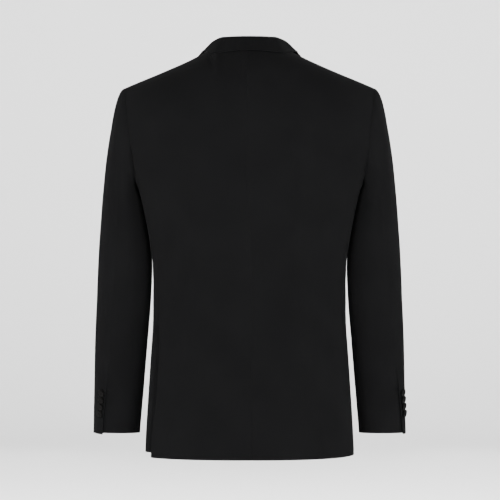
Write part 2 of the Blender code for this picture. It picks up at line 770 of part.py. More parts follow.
def make_sleeve(side, hand, ring, ring_normals):
    """One tube from the armhole to the cuff, cut into its two pieces along the seams."""
    angles = armhole_angles(ring)
    count = len(ring)
    back_column = int(np.argmin(np.abs(angles - sleeve_seam(side, "back", ARMHOLE_CENTRE))))
    front_column = int(np.argmin(np.abs(angles - sleeve_seam(side, "front", ARMHOLE_CENTRE))))
    rows = []
    at_bicep = turned_angles(side, angles, back_column, front_column, BICEP)
    for part in SLEEVE_CAP_PARTS:
        rows.append([cap_point(ring[k], ring_normals[k], at_bicep[k], part) for k in range(count)])
    levels = list(np.linspace(BICEP, CUFF_VENT_TOP, ARM_ROWS + 1))
    levels += list(np.linspace(CUFF_VENT_TOP, CUFF, CUFF_ROWS + 1)[1:])
    for level in levels:
        turned = turned_angles(side, angles, back_column, front_column, level)
        rows.append([sleeve_ring_point(turned[k], level) for k in range(count)])
    points = np.array(rows)
    onward = np.roll(points, -1, axis=1) - np.roll(points, 1, axis=1)
    downward = np.gradient(points, axis=0)
    normals = np.cross(downward, onward)
    normals /= np.linalg.norm(normals, axis=-1, keepdims=True)
    cap_rows = len(SLEEVE_CAP_PARTS)
    eases = [smooth((CUFF_VENT_TOP + CUFF_VENT_EASE - level) / CUFF_VENT_EASE) for level in levels]
    sunk = np.array([0.0] * cap_rows + eases)[:, None]

    top = [column % count for column in range(front_column, count + back_column + 1)]
    top_points = points[:, top].copy()
    top_normals = normals[:, top]
    near = np.array([smooth(1 - (len(top) - 1 - column) / CUFF_STEP_COLUMNS) for column in range(len(top))])
    top_points += top_normals * (sunk * near * CUFF_STEP / 2)[..., None]
    top_points[-1, :, 2] -= CUFF_CORNER_DROP * near
    pull_in(top_points, "first", "last")
    wall("top_sleeve_" + hand, *mirrored(side, top_points, top_points - top_normals * CLOTH))

    under = list(range(back_column, front_column + 1))
    lap = [back_column, back_column]
    under_points = points[:, lap + under].copy()
    under_normals = normals[:, lap + under].copy()
    for column, width in enumerate((CUFF_UNDERLAP, CUFF_UNDERLAP / 2)):
        toward = points[:, back_column - 1] - points[:, back_column]
        reach = np.linalg.norm(toward, axis=-1, keepdims=True)
        steps = width / reach
        beyond = (points[:, back_column - 1] - points[:, back_column]) * np.minimum(steps, 1)
        second = points[:, back_column - 2] - points[:, back_column - 1]
        extra = np.maximum(width - reach, 0) / np.linalg.norm(second, axis=-1, keepdims=True)
        under_points[:, column] += beyond + second * extra
        under_normals[:, column] = normals[:, back_column - 1]
    fades = [smooth(1 - column / CUFF_STEP_COLUMNS) for column in range(len(under))]
    near = np.array([1.0, 1.0] + fades)
    under_points -= under_normals * (sunk * near * CUFF_STEP / 2)[..., None]
    seam_columns = under_points[:, 2:]
    pull_in(seam_columns, "first", "last")
    vent_rows = [row >= cap_rows + ARM_ROWS for row in range(len(points) - 1)]
    present = [[vent, vent] + [True] * (len(under) - 1) for vent in vent_rows]
    wall(
        "under_sleeve_" + hand,
        *mirrored(side, under_points, under_points - under_normals * CLOTH),
        present,
    )
    return top_points, top_normals, levels


# Collar and lapels.


def make_lapel(side, name):
    """Lies on the front, folded round its edge along the roll line."""
    rows_outer = []
    rows_inner = []
    for row in range(LAPEL_ROWS + 1):
        along = LAPEL_START + (1 - LAPEL_START) * row / LAPEL_ROWS
        height = ROLL_BREAK + (LAPEL_TOP - ROLL_BREAK) * along
        roll = np.array([FRONT_EDGE.read("across", height), height])
        edge = np.array([LAPEL_EDGE.read("across", along), LAPEL_EDGE.read("height", along)])
        spots = [roll + (edge - roll) * part for part in (0.0, *LAPEL_PARTS)]
        frames = []
        for spot in spots:
            place = place_seen(spot[0], spot[1])
            point = body_point(*place)
            frames.append((point, body_normal(*place), closure_lift(side, place)))
        base, normal, lift = frames[0]
        base = base + normal * lift
        lateral = unit(base - frames[1][0] - frames[1][1] * frames[1][2])
        outer = [base + lateral * out + normal * up for out, up in LAPEL_FOLD_OUTER]
        inner = [base + lateral * out + normal * up for out, up in LAPEL_FOLD_INNER]
        for point, normal, lift in frames[1:]:
            outer.append(point + normal * (lift + LAYER_GAP + FACING))
            inner.append(point + normal * (lift + LAYER_GAP))
        rows_outer.append(outer)
        rows_inner.append(inner)
    outer = np.array(rows_outer)
    inner = np.array(rows_inner)
    drop = outer[-1] - outer[-2]
    drop = drop / np.linalg.norm(drop, axis=-1, keepdims=True) * SEAM_GAP
    outer[-1] -= drop
    inner[-1] -= drop
    wall(name, *mirrored(side, outer, inner))


def collar_half(side, neck):
    """Stations of one half: place along the neck seam and the seam's own point, mirrored by side."""
    back_neck, front_neck = neck
    front_neck = np.repeat(front_neck, 2, axis=0)[:-1]
    front_neck[1::2] = (front_neck[:-1:2] + front_neck[2::2]) / 2
    stations = []
    for start, points in ((0, back_neck), (1, front_neck)):
        lengths = np.concatenate([[0], np.cumsum(np.linalg.norm(np.diff(points, axis=0), axis=1))])
        for length, point in zip(lengths / lengths[-1], points):
            stations.append((side * (start + length), point * np.array([side, 1, 1])))
    return stations[: len(back_neck)] + stations[len(back_neck) + 1 :]


def make_collar(seams):
    left = collar_half(1, seams[1]["neck"])
    right = collar_half(-1, seams[-1]["neck"])
    middle = (0.0, (left[0][1] + right[0][1]) / 2)
    stations = right[:0:-1] + [middle] + left[1:]
    crowns = np.array([[COLLAR.read("crown_" + axis, s) for axis in "xyz"] for s, _ in stations])
    tangents = np.gradient(crowns, axis=0)
    rails = []
    for (station, seam), crown, tangent in zip(stations, crowns, tangents):
        side = 1 if station >= 0 else -1
        out = unit(np.array([tangent[1], -tangent[0], 0.0]))
        out = out if np.dot(out[:2], seam[:2] - np.array(NECK_MIDDLE)) > 0 else -out
        around, level = place_in_plan(abs(seam[0]), seam[1])
        normal = body_normal(around, min(level, YOKE_TOP - LEVEL_STEP)) * np.array([side, 1, 1])
        edge_plan = (abs(COLLAR.read("edge_x", station)), COLLAR.read("edge_y", station))
        edge = lifted(place_in_plan(*edge_plan), COLLAR_LIFT) * np.array([side, 1, 1])
        inward = unit(crown - seam - normal * np.dot(crown - seam, normal))
        base = seam + inward * (CLOTH / 2 + COLLAR_CLEAR) - normal * CLOTH / 2
        length = np.linalg.norm(crown - base)
        roll = min(COLLAR_ROLL, length / 2)
        up = base + (crown - base) * STAND_LEAVE
        stand = [bezier(base, up, crown - out * roll, crown, part) for part in STAND_PARTS]
        over = crown + out * roll * FALL_LEAVE
        flat = edge + (crown - edge) * FALL_ARRIVE
        fall = [bezier(crown, over, flat, edge, part) for part in FALL_PARTS]
        if abs(station) > GORGE_STATION:
            fall = fall[:2] + gorge_points(side)
        rails.append(stand + [fall[0]] + [rest_on_panel(point, side) for point in fall[1:]])
    middle_wall = np.array(rails)
    across = np.gradient(middle_wall, axis=1)
    along = np.gradient(middle_wall, axis=0)
    normals = np.cross(along, across)
    normals /= np.linalg.norm(normals, axis=-1, keepdims=True)
    if normals[len(stations) // 2, 3, 2] < 0:
        normals = -normals
    wall("collar", middle_wall + normals * CLOTH / 2, middle_wall - normals * CLOTH / 2)


def gorge_points(side):
    """The collar's end: along the gorge seam to the notch and up to the collar's point."""
    height = LAPEL_TOP
    start = np.array([FRONT_EDGE.read("across", height), height])
    notch = np.array(NOTCH)
    spots = [(start + notch) / 2, notch]
    spots += [notch + (np.array(COLLAR_POINT) - notch) * part for part in (0.5, 1.0)]
    rise = np.array([0.0, GORGE_GAP])
    places = [place_seen(*(spot + rise)) for spot in spots]
    points = [lifted(place, COLLAR_LIFT + closure_lift(side, place)) for place in places]
    return [point * np.array([side, 1, 1]) for point in points]


def rest_on_panel(point, side):
    """Keeps a point of the collar's fall clear of the shoulder below it."""
    mirror = np.array([side, 1, 1])
    own = point * mirror
    around, level = place_in_plan(max(own[0], 0.0), own[1])
    normal = body_normal(around, min(level, YOKE_TOP - LEVEL_STEP))
    lift = np.dot(own - body_point(around, level), normal) - closure_lift(side, (around, level))
    return (own + normal * max(COLLAR_LIFT - lift, 0)) * mirror


# What lies on the fronts.


def make_flap(side, name):
    """A hip pocket flap with its lower corners rounded."""
    outer = []
    inner = []
    for row in range(FLAP_ROWS + 1):
        down = row / FLAP_ROWS
        outer_row = []
        inner_row = []
        for along in FLAP_PARTS:
            around = FLAP_FROM + (FLAP_TO - FLAP_FROM) * along
            corner = max(1 - min(along, 1 - along) / FLAP_PARTS[4], 0)
            length = FLAP_DEPTH * down - FLAP_ROUND * (1 - math.sqrt(1 - corner**2)) * down**2
            level = FLAP_TOP - FLAP_SLANT * along - length
            point = body_point(around, level)
            normal = body_normal(around, level)
            lift = LAYER_GAP + closure_lift(side, (around, level))
            outer_row.append(point + normal * (lift + FACING))
            inner_row.append(point + normal * lift)
        outer.append(outer_row)
        inner.append(inner_row)
    wall(name, *mirrored(side, np.array(outer), np.array(inner)))


def make_welt(name):
    """The breast pocket's welt, on the left front."""
    outer = []
    inner = []
    for down in np.linspace(0, 1, WELT_ROWS + 1):
        outer_row = []
        inner_row = []
        for along in np.linspace(0, 1, WELT_COLUMNS + 1):
            across = WELT_FROM + (WELT_TO - WELT_FROM) * along
            height = WELT_HEIGHT + WELT_SLANT * along - WELT_DEPTH * down
            place = place_seen(across, height)
            outer_row.append(lifted(place, LAYER_GAP + FACING))
            inner_row.append(lifted(place, LAYER_GAP))
        outer.append(outer_row)
        inner.append(inner_row)
    wall(name, np.array(outer), np.array(inner))


# Buttons.


def make_button(name, centre, outward, diameter, spin_from):
    """A turned disc with a raised rim round a dished face; its back lies at the centre."""
    radius = diameter / 2
    profile = [(part * radius, height * radius) for part, height in BUTTON_PROFILE]
    outward = unit(outward)
    first = unit(spin_from - outward * np.dot(spin_from, outward))
    second = np.cross(outward, first)
    points = []
    for distance, height in profile:
        if distance == 0:
            points.append(centre + outward * height)
            continue
        for step in range(BUTTON_SIDES):
            angle = 2 * math.pi * step / BUTTON_SIDES
            arm = first * math.cos(angle) + second * math.sin(angle)
            points.append(centre + arm * distance + outward * height)
    faces = []
    rings = len(profile) - 2
    last = len(points) - 1
    for step in range(BUTTON_SIDES):
        after = (step + 1) % BUTTON_SIDES
        faces.append((0, 1 + after, 1 + step))
        for ring in range(rings - 1):
            low = 1 + ring * BUTTON_SIDES
            high = low + BUTTON_SIDES
            faces.append((low + step, low + after, high + after, high + step))
        top = 1 + (rings - 1) * BUTTON_SIDES
        faces.append((top + step, top + after, last))
    add_object(name, points, faces, BLACK_HORN, HORN_ROUGHNESS)


def make_front_buttons():
    for number, height in enumerate(FRONT_BUTTON_HEIGHTS, start=1):
        place = (180.0, height)
        normal = body_normal(*place)
        centre = body_point(*place) + normal * (CLOSURE_STEP / 2 + BUTTON_STAND)
        make_button(f"front_button_{number}", centre, normal, FRONT_BUTTON, np.array([1.0, 0, 0]))


def make_cuff_buttons(side, hand, points, normals, levels):
    """Four in a row beside the vent, each tipped so that its lower edge lies over the next one."""
    mirror = np.array([side, 1, 1])
    first_row = len(points) - len(levels)
    for number in range(CUFF_BUTTONS):
        height = CUFF_BUTTON_TOP - CUFF_BUTTON_PITCH * number
        edge_heights = points[first_row:, -1, 2]
        place = np.interp(-height, -edge_heights, np.arange(len(levels)))
        low = min(int(place), len(levels) - 2)
        part = place - low
        rim = points[first_row + low, -1] * (1 - part) + points[first_row + low + 1, -1] * part
        next_in = points[first_row + low, -2] * (1 - part) + points[first_row + low + 1, -2] * part
        down = unit(points[first_row + low + 1, -1] - points[first_row + low, -1])
        inward = next_in - rim
        width = np.linalg.norm(inward)
        share = CUFF_BUTTON_INSET / width
        spot = rim + inward * share
        normal = unit(np.cross(down, inward))
        normal = normal if np.dot(normal, normals[first_row + low, -1]) > 0 else -normal
        tilt = math.radians(CUFF_BUTTON_TILT)
        outward = normal * math.cos(tilt) + down * math.sin(tilt)
        centre = spot + normal * (CUFF_BUTTON / 2 * math.sin(tilt) + BUTTON_STAND)
        name = f"cuff_button_{hand}_{number + 1}"
        make_button(name, centre * mirror, outward * mirror, CUFF_BUTTON, down * mirror)


def main():
    for old in list(bpy.data.objects):
        bpy.data.objects.remove(old, do_unlink=True)
    seams = make_body()
    make_collar(seams)
    for side, hand in ((1, "left"), (-1, "right")):
        points, normals, levels = make_sleeve(side, hand, seams[side]["ring"], seams[side]["normals"])
        make_cuff_buttons(side, hand, points, normals, levels)
        make_lapel(side, "lapel_" + hand)
        make_flap(side, "flap_" + hand)
    make_welt("breast_welt")
    make_front_buttons()


main()
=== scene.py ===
import math

import bmesh
import bpy
import numpy as np
from mathutils import Matrix, Vector


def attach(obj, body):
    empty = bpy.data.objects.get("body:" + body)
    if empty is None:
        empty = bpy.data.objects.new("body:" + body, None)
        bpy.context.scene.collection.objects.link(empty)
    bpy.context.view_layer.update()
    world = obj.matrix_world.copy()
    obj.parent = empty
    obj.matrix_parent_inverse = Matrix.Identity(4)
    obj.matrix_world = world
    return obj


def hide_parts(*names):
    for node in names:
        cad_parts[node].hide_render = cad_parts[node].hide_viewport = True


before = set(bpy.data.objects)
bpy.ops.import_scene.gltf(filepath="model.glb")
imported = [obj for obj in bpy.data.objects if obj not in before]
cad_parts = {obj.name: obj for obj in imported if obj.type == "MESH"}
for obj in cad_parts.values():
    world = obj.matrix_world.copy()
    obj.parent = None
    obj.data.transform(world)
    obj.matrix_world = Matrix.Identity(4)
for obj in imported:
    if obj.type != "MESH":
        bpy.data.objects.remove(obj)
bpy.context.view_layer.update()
bpy.ops.object.select_all(action="DESELECT")

# Camera.
# A long lens straight behind the jacket, level with its middle, as a catalogue's back view is taken.

CAMERA_DISTANCE = 5.6
CAMERA_HEIGHT = -0.3546
CAMERA_ASIDE = -0.0009
FILM_WIDTH = 36.0  # mm
FRAME_WIDTH = 0.9125  # what the picture takes in at the jacket's middle
FARTHEST = 60.0  # that the camera sees

lens = bpy.data.cameras.new("camera")
lens.sensor_width = FILM_WIDTH
lens.lens = FILM_WIDTH * CAMERA_DISTANCE / FRAME_WIDTH
lens.clip_end = FARTHEST
camera = bpy.data.objects.new("camera", lens)
camera.location = (CAMERA_ASIDE, CAMERA_DISTANCE, CAMERA_HEIGHT)
camera.rotation_euler = (math.radians(90), 0, math.radians(180))
bpy.context.scene.collection.objects.link(camera)
bpy.context.scene.camera = camera

# Studio.
# A round pale floor that turns up into a wall all round, soft boxes on both sides, behind and in front,
# and a ring of lights above that brightens the wall.  Nothing here is part of the jacket.

FLOOR_HEIGHT = -1.05
FLOOR_STEPS = 96  # round the floor
FLOOR_TONE = 0.83
FLOOR_PROFILE = (
    # out from the middle, up from the floor
    (0.0, 0.0),
    (5.6, 0.0),
    (6.4, 0.08),
    (7.2, 0.38),
    (7.9, 0.95),
    (8.4, 1.8),
    (8.6, 3.0),
    (8.7, 6.0),
)

bowl = bmesh.new()
rim = [bowl.verts.new((out, 0, FLOOR_HEIGHT + up)) for out, up in FLOOR_PROFILE]
edges = [bowl.edges.new(pair) for pair in zip(rim, rim[1:])]
bmesh.ops.spin(
    bowl, geom=rim + edges, cent=(0, 0, 0), axis=(0, 0, 1), angle=math.tau, steps=FLOOR_STEPS
)
bmesh.ops.remove_doubles(bowl, verts=bowl.verts, dist=0.0001)
bmesh.ops.recalc_face_normals(bowl, faces=bowl.faces)
floor_mesh = bpy.data.meshes.new("floor")
bowl.to_mesh(floor_mesh)
bowl.free()
floor_mesh.shade_smooth()
floor = bpy.data.objects.new("floor", floor_mesh)
bpy.context.scene.collection.objects.link(floor)
pale = bpy.data.materials.new("pale_floor")
pale.use_nodes = True
paint = pale.node_tree.nodes["Principled BSDF"].inputs
paint["Base Color"].default_value = (FLOOR_TONE, FLOOR_TONE, FLOOR_TONE, 1)
paint["Roughness"].default_value = 1.0
paint["Specular IOR Level"].default_value = 0.0
floor_mesh.materials.append(pale)

MIDDLE = Vector((0, 0, -0.35))  # of the jacket
SIDE_SHEET = (1.6, 3.0)  # width and height of a soft box
END_SHEET = (1.8, 1.4)
END_SPREAD = 50  # degrees
WASHER_SHEET = (2.4, 1.2)
WASHERS = 8
WASHER_RING = 3.6  # radius of their ring
WASHER_HEIGHT = 4.2
WALL_RING = 8.0  # where on the wall they point
WALL_HEIGHT = -0.4
WASHER_WATTS = (100, 200)  # on the wearer's left and on the right
SKY_STRENGTH = 0.1


def soft_box(name, place, target, sheet, watts, spread=180):
    """A lamp behind a white sheet.  A spread below 180 degrees stands for a honeycomb before it."""
    box = bpy.data.lights.new(name, "AREA")
    box.spread = math.radians(spread)
    box.shape = "RECTANGLE"
    box.size, box.size_y = sheet
    box.energy = watts
    lamp = bpy.data.objects.new(name, box)
    lamp.location = place
    lamp.rotation_euler = (Vector(target) - Vector(place)).to_track_quat("-Z", "Y").to_euler()
    lamp.visible_camera = False
    bpy.context.scene.collection.objects.link(lamp)


soft_box("left_box", (3.4, 0.2, -0.2), MIDDLE, SIDE_SHEET, 420)
soft_box("right_box", (-3.4, 0.2, -0.2), MIDDLE, SIDE_SHEET, 360)
soft_box("left_rim_box", (2.99, -1.9, -0.2), MIDDLE, SIDE_SHEET, 250)
soft_box("right_rim_box", (-2.99, -1.9, -0.2), MIDDLE, SIDE_SHEET, 280)
for name, x, y, watts in (
    ("back_left_box", 1.6, 5.2, 90),
    ("back_right_box", -1.6, 5.2, 90),
    ("front_left_box", 1.6, -5.2, 45),
    ("front_right_box", -1.6, -5.2, 45),
):
    soft_box(name, (x, y, -0.25), MIDDLE, END_SHEET, watts, END_SPREAD)
for number in range(WASHERS):
    turn = math.tau * (number + 0.5) / WASHERS
    place = (WASHER_RING * math.cos(turn), WASHER_RING * math.sin(turn), WASHER_HEIGHT)
    target = (WALL_RING * math.cos(turn), WALL_RING * math.sin(turn), WALL_HEIGHT)
    watts = WASHER_WATTS[0] if place[0] > 0 else WASHER_WATTS[1]
    soft_box(f"wall_washer_{number + 1}", place, target, WASHER_SHEET, watts)

sky = bpy.data.worlds.new("sky")
sky.use_nodes = True
sky.node_tree.nodes["Background"].inputs["Color"].default_value = (1.0, 1.0, 1.0, 1)
sky.node_tree.nodes["Background"].inputs["Strength"].default_value = SKY_STRENGTH
bpy.context.scene.world = sky

# Backs.
# Two long panels of fine black worsted joined down the spine, shaped at the waist by their seams and
# open below the hips at the side vents.  Their insides are finished as a smooth lining.

CLOTH_THICKNESS = 0.0014
EDGE_ROUND = 0.0004
EDGE_ANGLE = math.radians(60)  # edges turned by more than this are rounded
SEAM_GAP = 0.0004  # between the solids of two sewn pieces
SEAM_REACH = 0.0025  # that an edge is drawn over to its neighbour
FINE = 3  # subdivisions of a panel
FITTING_ROUNDS = 5
SAME_PLACE = 0.00001
PAIR_ANGLE = math.radians(35)  # triangles that bend less than this are paired
WALL_ANGLE = math.radians(55)  # an outside goes on over edges that bend less than this
FOLD_LIFT = 0.035  # a fold fades out this far off its line, across the cloth
FOLD_FADE = 2.5  # how fast its ends fade


def body_axis(point):
    """The place inside the body that a point of its cloth faces away from."""
    return Vector((0, 0.01, point.z))


def cut(node, axis):
    """The outside of a node's wall as a mesh of quads.  axis gives the place that it faces away from."""
    cloth = bmesh.new()
    cloth.from_mesh(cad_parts[node].data)
    bmesh.ops.remove_doubles(cloth, verts=cloth.verts, dist=SAME_PLACE)
    bmesh.ops.join_triangles(
        cloth, faces=cloth.faces, angle_face_threshold=PAIR_ANGLE, angle_shape_threshold=math.pi
    )
    waiting = set(cloth.faces)
    most = None
    while waiting:
        region = [waiting.pop()]
        for face in region:
            for edge in face.edges:
                if len(edge.link_faces) == 2 and edge.calc_face_angle() < WALL_ANGLE:
                    for other in edge.link_faces:
                        if other in waiting:
                            waiting.remove(other)
                            region.append(other)
        outward = 0.0
        for face in region:
            centre = face.calc_center_median()
            outward += face.calc_area() * face.normal.dot(centre - axis(centre))
        if most is None or outward > most:
            most = outward
            outside = set(region)
    inside = [face for face in cloth.faces if face not in outside]
    bmesh.ops.delete(cloth, geom=inside, context="FACES")
    mesh = bpy.data.meshes.new(node + "_cloth")
    cloth.to_mesh(mesh)
    cloth.free()
    piece = bpy.data.objects.new(node + "_cloth", mesh)
    bpy.context.scene.collection.objects.link(piece)
    return piece


def places(mesh):
    """Where its points are, as rows."""
    found = np.empty(len(mesh.vertices) * 3)
    mesh.vertices.foreach_get("co", found)
    return found.reshape(-1, 3)


def apply_all(piece):
    """Applies its modifiers in their order."""
    bpy.context.view_layer.objects.active = piece
    for modifier in list(piece.modifiers):
        bpy.ops.object.modifier_apply(modifier=modifier.name)


def smooth_out(piece):
    """Subdivides a panel so that its surface still runs through every point it had."""
    wanted = places(piece.data)
    control = wanted.copy()
    finer = piece.modifiers.new("finer", "SUBSURF")
    finer.levels = 1
    finer.render_levels = 1
    finer.boundary_smooth = "PRESERVE_CORNERS"
    for _ in range(FITTING_ROUNDS):
        piece.data.vertices.foreach_set("co", control.ravel())
        piece.data.update()
        bpy.context.view_layer.update()
        shown = piece.evaluated_get(bpy.context.evaluated_depsgraph_get()).to_mesh()
        control += wanted - places(shown)[: len(wanted)]
    piece.data.vertices.foreach_set("co", control.ravel())
    finer.levels = FINE
    finer.render_levels = FINE
    apply_all(piece)


def let_out(piece):
    """Moves a panel's edges out by half a seam's gap, so that sewn edges touch."""
    shape = bmesh.new()
    shape.from_mesh(piece.data)
    steps = {}
    for edge in shape.edges:
        if len(edge.link_faces) == 1:
            face = edge.link_faces[0]
            run = edge.verts[1].co - edge.verts[0].co
            out = run.cross(face.normal).normalized()
            if out.dot(face.calc_center_median() - edge.verts[0].co) > 0:
                out.negate()
            for vert in edge.verts:
                steps.setdefault(vert, []).append(out)
    for vert, outs in steps.items():
        vert.co += sum(outs, Vector()).normalized() * SEAM_GAP / 2
    shape.to_mesh(piece.data)
    shape.free()


def sew_to(piece, names, reach=SEAM_REACH, above=-1.0):
    """Draws a panel's edges, above a height, onto the finished pieces that lie within reach of them."""
    shape = bmesh.new()
    shape.from_mesh(piece.data)
    for vert in shape.verts:
        if vert.is_boundary and vert.co.z > above:
            nearest = None
            for name in names:
                finished = bpy.data.objects[name]
                found, spot, _, _ = finished.closest_point_on_mesh(vert.co, distance=reach)
                if found and (nearest is None or (spot - vert.co).length < (nearest - vert.co).length):
                    nearest = spot
            if nearest is not None:
                vert.co = nearest
    shape.to_mesh(piece.data)
    shape.free()


def flatten(piece):
    """Gives a panel its flat pattern as a UV map in metres, grain upwards, and returns size and area."""
    bpy.ops.object.select_all(action="DESELECT")
    piece.select_set(True)
    bpy.context.view_layer.objects.active = piece
    piece.data.uv_layers.new(name="flat")
    bpy.ops.object.mode_set(mode="EDIT")
    bpy.ops.mesh.select_all(action="SELECT")
    bpy.ops.uv.unwrap(method="ANGLE_BASED", margin=0.0)
    bpy.ops.object.mode_set(mode="OBJECT")
    loops = piece.data.uv_layers["flat"].uv
    flat = np.array([tuple(loop.vector) for loop in loops])
    heights = np.array([piece.data.vertices[loop.vertex_index].co.z for loop in piece.data.loops])
    cloth_area = sum(face.area for face in piece.data.polygons)
    flat_area = 0.0
    for face in piece.data.polygons:
        corners = flat[list(face.loop_indices)]
        after = np.roll(corners, -1, axis=0)
        flat_area += abs(np.sum(corners[:, 0] * after[:, 1] - corners[:, 1] * after[:, 0])) / 2
    flat = (flat - flat.mean(axis=0)) * math.sqrt(cloth_area / flat_area)
    rise = np.linalg.lstsq(flat, heights - heights.mean(), rcond=None)[0]
    up = rise / np.linalg.norm(rise)
    turned = np.column_stack([flat @ np.array([up[1], -up[0]]), flat @ up])
    for loop, place in zip(loops, turned):
        loop.vector = place
    width, length = np.ptp(turned, axis=0)
    return (width, length), cloth_area


def lay_out(node, axis):
    """Cuts a panel, measures it flat and smooths it.  Returns the panel, its flat size and its area."""
    piece = cut(node, axis)
    size, area = flatten(piece)
    smooth_out(piece)
    return piece, size, area


def crease(piece, folds):
    """Presses soft troughs into a panel, or raises ridges where a depth is below nothing.

    A fold is the x, y and z of its start and of its end, its half width and its depth.
    """
    points = places(piece.data)
    normals = np.array([tuple(vertex.normal) for vertex in piece.data.vertices])
    push = np.zeros(len(points))
    for ax, ay, az, bx, by, bz, width, depth in folds:
        start = np.array([ax, ay, az])
        line = np.array([bx, by, bz]) - start
        part = (points - start) @ line / (line @ line)
        away = points - start - np.clip(part, 0, 1)[:, None] * line
        lift = np.sum(away * normals, axis=1)
        aside = np.linalg.norm(away - normals * lift[:, None], axis=1)
        near = np.clip(np.minimum(part, 1 - part) * FOLD_FADE + 0.5, 0, 1)
        ends = near * near * (3 - 2 * near)
        push += depth * np.exp(-((aside / width) ** 2) - (lift / FOLD_LIFT) ** 4) * ends
    points -= normals * push[:, None]
    piece.data.vertices.foreach_set("co", points.ravel())
    piece.data.update()


def both_sides(folds):
    """The wearer's left folds and their mirror images on the right."""
    right = [(-ax, ay, az, -bx, *rest) for ax, ay, az, bx, *rest in folds]
    return [*folds, *right]


def new_material(name):
    """An empty material, its nodes, its function that joins sockets, and its shader."""
    material = bpy.data.materials.new(name)
    material.use_nodes = True
    tree = material.node_tree
    return material, tree.nodes, tree.links.new, tree.nodes["Principled BSDF"]


def worsted():
    """Fine black worsted: a close twill with a soft nap that catches light along turned edges."""
    cloth, nodes, join, shader = new_material("black_worsted")
    shader.inputs["Specular IOR Level"].default_value = 0.0
    shader.inputs["Sheen Weight"].default_value = 0.005
    shader.inputs["Sheen Roughness"].default_value = 0.45
    shader.inputs["Sheen Tint"].default_value = (0.80, 0.80, 0.80, 1)
    flat = nodes.new("ShaderNodeUVMap")
    flat.uv_map = "flat"
    twill = nodes.new("ShaderNodeTexWave")
    twill.bands_direction = "DIAGONAL"
    twill.inputs["Scale"].default_value = 420.0
    twill.inputs["Distortion"].default_value = 0.6
    twill.inputs["Detail Scale"].default_value = 3.0
    nap = nodes.new("ShaderNodeTexNoise")
    nap.inputs["Scale"].default_value = 1500.0
    nap.inputs["Detail"].default_value = 4.0
    cloud = nodes.new("ShaderNodeTexNoise")
    cloud.inputs["Scale"].default_value = 14.0
    cloud.inputs["Detail"].default_value = 3.0
    for pattern in (twill, nap, cloud):
        join(flat.outputs["UV"], pattern.inputs["Vector"])
    weave = nodes.new("ShaderNodeMix")
    weave.inputs["Factor"].default_value = 0.55
    join(twill.outputs["Fac"], weave.inputs["A"])
    join(nap.outputs["Fac"], weave.inputs["B"])
    tone = nodes.new("ShaderNodeValToRGB")
    tone.color_ramp.elements[0].position = 0.2
    tone.color_ramp.elements[0].color = (0.00147, 0.00147, 0.00155, 1)
    tone.color_ramp.elements[1].position = 0.85
    tone.color_ramp.elements[1].color = (0.00279, 0.00279, 0.00287, 1)
    join(weave.outputs["Result"], tone.inputs["Fac"])
    patch = nodes.new("ShaderNodeMix")
    patch.data_type = "RGBA"
    patch.blend_type = "MULTIPLY"
    patch.inputs["Factor"].default_value = 0.35
    join(tone.outputs["Color"], patch.inputs["A"])
    join(cloud.outputs["Fac"], patch.inputs["B"])
    join(patch.outputs["Result"], shader.inputs["Base Color"])
    rough = nodes.new("ShaderNodeMapRange")
    rough.inputs["To Min"].default_value = 0.62
    rough.inputs["To Max"].default_value = 0.74
    join(cloud.outputs["Fac"], rough.inputs["Value"])
    join(rough.outputs["Result"], shader.inputs["Roughness"])
    relief = nodes.new("ShaderNodeBump")
    relief.inputs["Strength"].default_value = 0.25
    relief.inputs["Distance"].default_value = 0.0002
    join(weave.outputs["Result"], relief.inputs["Height"])
    join(relief.outputs["Normal"], shader.inputs["Normal"])
    return cloth


def lining():
    """Black viscose twill lining, smoother and a little glossier than the cloth."""
    cloth, nodes, join, shader = new_material("black_lining")
    shader.inputs["Specular IOR Level"].default_value = 0.004
    shader.inputs["Roughness"].default_value = 0.55
    flat = nodes.new("ShaderNodeUVMap")
    flat.uv_map = "flat"
    rib = nodes.new("ShaderNodeTexWave")
    rib.bands_direction = "DIAGONAL"
    rib.inputs["Scale"].default_value = 900.0
    ripple = nodes.new("ShaderNodeTexNoise")
    ripple.inputs["Scale"].default_value = 22.0
    ripple.inputs["Detail"].default_value = 2.0
    for pattern in (rib, ripple):
        join(flat.outputs["UV"], pattern.inputs["Vector"])
    tone = nodes.new("ShaderNodeValToRGB")
    tone.color_ramp.elements[0].color = (0.0017, 0.0017, 0.0018, 1)
    tone.color_ramp.elements[1].color = (0.0035, 0.0035, 0.0036, 1)
    join(rib.outputs["Fac"], tone.inputs["Fac"])
    join(tone.outputs["Color"], shader.inputs["Base Color"])
    relief = nodes.new("ShaderNodeBump")
    relief.inputs["Strength"].default_value = 0.35
    relief.inputs["Distance"].default_value = 0.0015
    join(ripple.outputs["Fac"], relief.inputs["Height"])
    join(relief.outputs["Normal"], shader.inputs["Normal"])
    return cloth


WORSTED = worsted()
LINING = lining()


def sew_in(piece, node, inside=LINING, thickness=CLOTH_THICKNESS):
    piece.data.materials.append(WORSTED)
    piece.data.materials.append(inside)
    wall = piece.modifiers.new("wall", "SOLIDIFY")
    wall.thickness = thickness
    wall.offset = -1.0
    wall.material_offset = 1
    wall.use_quality_normals = True
    turned = piece.modifiers.new("turned_edges", "BEVEL")
    turned.width = EDGE_ROUND
    turned.segments = 2
    turned.limit_method = "ANGLE"
    turned.angle_limit = EDGE_ANGLE
    apply_all(piece)
    piece.data.shade_smooth()
    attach(piece, "root")
    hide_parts(node)


